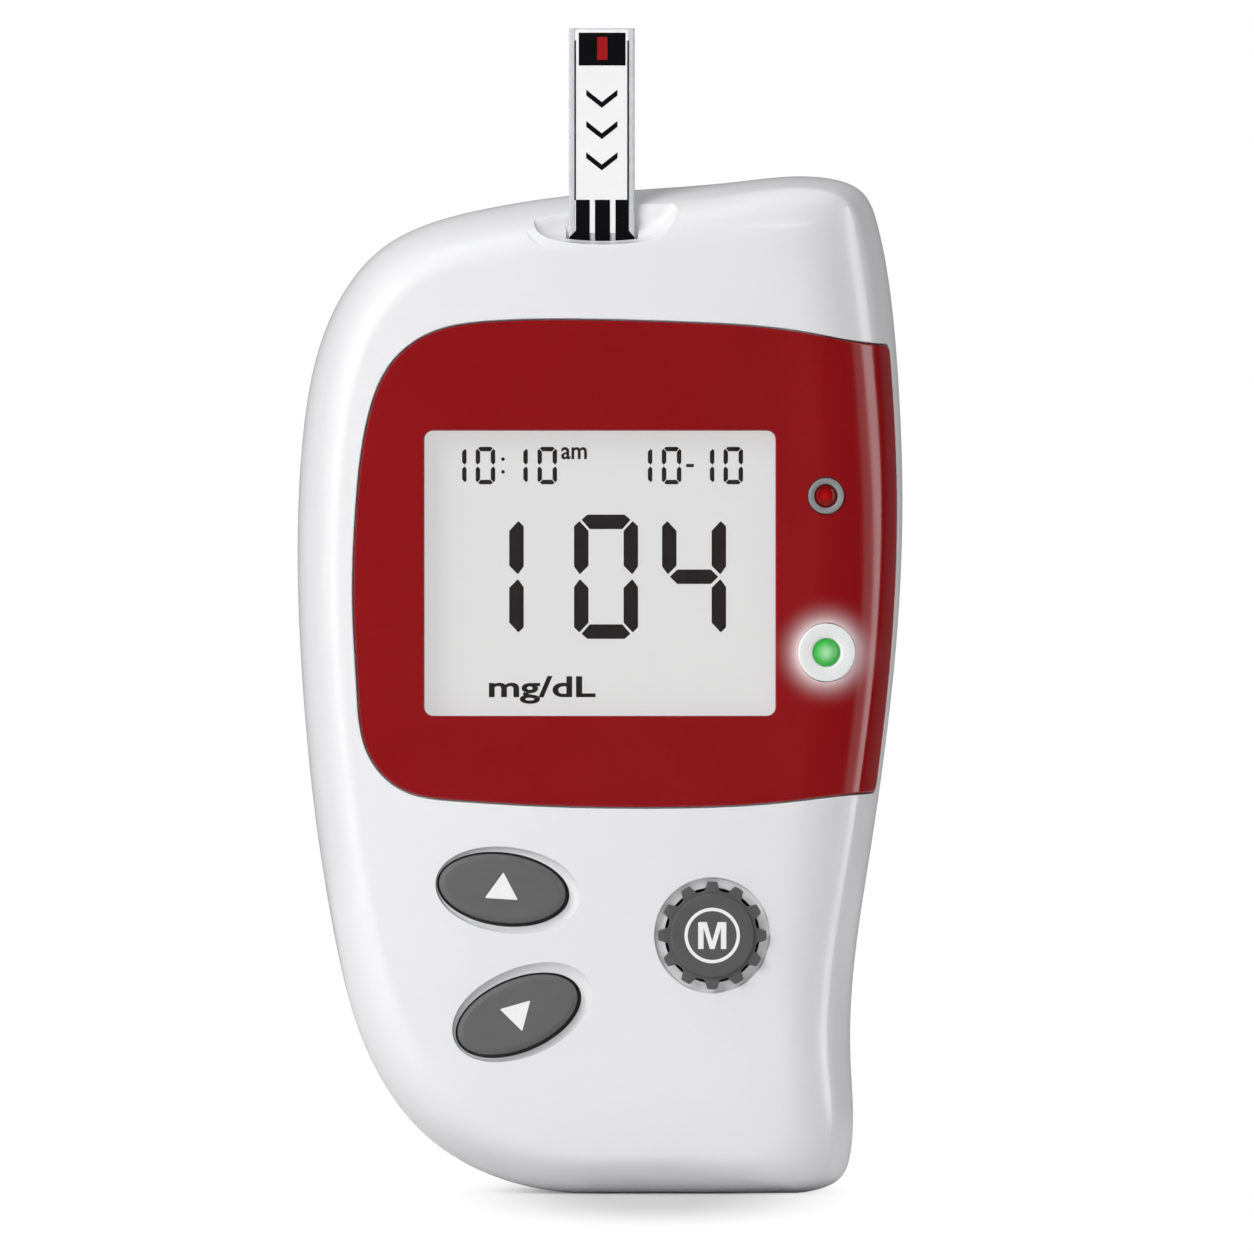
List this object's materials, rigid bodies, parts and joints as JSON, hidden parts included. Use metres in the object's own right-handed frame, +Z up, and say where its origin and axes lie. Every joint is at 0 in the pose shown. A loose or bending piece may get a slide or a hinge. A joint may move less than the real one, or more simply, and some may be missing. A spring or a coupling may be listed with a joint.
{
  "type": "blood glucose meter",
  "caption": "Handheld blood glucose meter with a rounded white case, red faceplate, display, oval and cog push buttons, lamps and an inserted test strip.",
  "frame": {"origin": "under the middle of the meter, on the surface that its foot stands on", "axes": "+X to the right seen from the front, +Y into the meter from its face to its back, +Z up towards the test strip"},
  "size_m": [0.0562, 0.0222, 0.1082],
  "materials": {
    "case_white": "gloss moulded ABS, near white",
    "faceplate_red": "gloss dark red inlay",
    "window_clear": "clear acrylic pane",
    "lcd_glass": "satin grey reflective display",
    "moulding_white": "satin white",
    "moulding_grey": "satin mid grey",
    "moulding_black": "matte black",
    "elastomer": "matte grey silicone",
    "circuit_board": "green solder mask",
    "key_grey": "satin dark grey",
    "lens_red": "clear dark red",
    "lens_green": "lit green",
    "contact_gold": "gold plated",
    "strip_base": "clear grey polyester",
    "strip_film": "white printed film",
    "cell_can": "plain printed sleeve",
    "nickel_steel": "nickel plated"
  },
  "bodies": {
    "meter": {"front_shell": "case_white", "rear_shell": "case_white", "faceplate": "faceplate_red", "display_window": "window_clear", "lcd_panel": "lcd_glass", "lcd_holder": "moulding_white", "lcd_connector_lower": "elastomer", "lcd_connector_upper": "elastomer", "main_board": "circuit_board", "up_switch": "moulding_black", "down_switch": "moulding_black", "memory_switch": "moulding_black", "red_lamp_bezel": "moulding_grey", "red_lamp_lens": "lens_red", "red_lamp_body": "lens_red", "green_lamp_bezel": "moulding_white", "green_lamp_lens": "lens_green", "green_lamp_body": "lens_green", "strip_port": "moulding_black", "port_contact_left": "contact_gold", "port_contact_middle": "contact_gold", "port_contact_right": "contact_gold", "cell_left": "cell_can", "cell_right": "cell_can", "cell_spring_lower": "nickel_steel", "cell_spring_upper": "nickel_steel", "contact_bridge": "nickel_steel", "contact_negative": "nickel_steel", "contact_positive": "nickel_steel", "case_screw_1": "nickel_steel", "case_screw_2": "nickel_steel", "case_screw_3": "nickel_steel", "case_screw_4": "nickel_steel", "microcontroller": "moulding_black", "measuring_amplifier": "moulding_black", "memory_chip": "moulding_black", "crystal": "nickel_steel", "buzzer": "moulding_black"},
    "up_key": {"up_button": "key_grey", "up_switch_plunger": "moulding_grey"},
    "down_key": {"down_button": "key_grey", "down_switch_plunger": "moulding_grey"},
    "memory_key": {"memory_button": "key_grey", "memory_switch_plunger": "moulding_grey"},
    "strip": {"test_strip": "strip_base", "test_strip_film": "strip_film"},
    "cover": {"battery_cover": "case_white"}
  },
  "joints": [
    {"name": "up_press", "type": "slide", "parent": "meter", "child": "up_key", "axis": [0, 1, 0], "range_m": [0, 0.0005], "stiffness_N_per_m": 800},
    {"name": "down_press", "type": "slide", "parent": "meter", "child": "down_key", "axis": [0, 1, 0], "range_m": [0, 0.0005], "stiffness_N_per_m": 800},
    {"name": "memory_press", "type": "slide", "parent": "meter", "child": "memory_key", "axis": [0, 1, 0], "range_m": [0, 0.0005], "stiffness_N_per_m": 800},
    {"name": "strip_slide", "type": "slide", "parent": "meter", "child": "strip", "axis": [0, 0, 1], "range_m": [0, 0.0125]},
    {"name": "cover_swing", "type": "hinge", "parent": "meter", "child": "cover", "pos_m": [0, 0.01115, 0.073], "axis": [1, 0, 0], "range_deg": [0, 70]}
  ]
}
